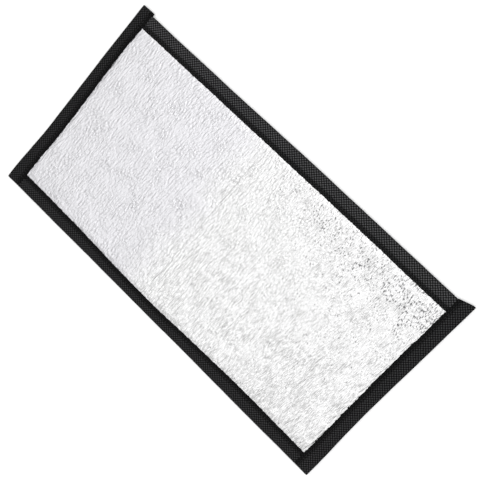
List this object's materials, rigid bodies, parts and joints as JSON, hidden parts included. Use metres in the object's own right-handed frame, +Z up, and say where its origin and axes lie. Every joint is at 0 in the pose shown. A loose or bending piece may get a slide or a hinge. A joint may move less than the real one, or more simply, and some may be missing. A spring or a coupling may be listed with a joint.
{
  "type": "foam sleeping pad",
  "caption": "Thin foil-faced foam sleeping pad, bound all round with folded woven tape and folding face to face along a crease across its width.",
  "frame": {"origin": "middle of the underside, on the surface that the pad lies on", "axes": "+X along the pad from the short panel's bound end to the long panel's, +Y across it, +Z up out of the foil face"},
  "size_m": [0.95, 0.504, 0.0082],
  "materials": {
    "foam": "matte",
    "foil": "satin",
    "tape": "matte",
    "thread": "satin"
  },
  "bodies": {
    "long_panel": {"foam_core_long": "foam", "foil_facing_long": "foil", "end_tape_long": "tape", "left_tape_long": "tape", "right_tape_long": "tape", "end_needle_thread_long": "thread", "end_bobbin_thread_long": "thread", "left_needle_thread_long": "thread", "left_bobbin_thread_long": "thread", "right_needle_thread_long": "thread", "right_bobbin_thread_long": "thread"},
    "short_panel": {"foam_core_short": "foam", "foil_facing_short": "foil", "end_tape_short": "tape", "left_tape_short": "tape", "right_tape_short": "tape", "end_needle_thread_short": "thread", "end_bobbin_thread_short": "thread", "left_needle_thread_short": "thread", "left_bobbin_thread_short": "thread", "right_needle_thread_short": "thread", "right_bobbin_thread_short": "thread"}
  },
  "joints": [
    {"name": "fold", "type": "hinge", "parent": "long_panel", "child": "short_panel", "pos_m": [-0.057, 0, 0.0086], "axis": [0, 1, 0], "range_deg": [0, 179.5]}
  ]
}
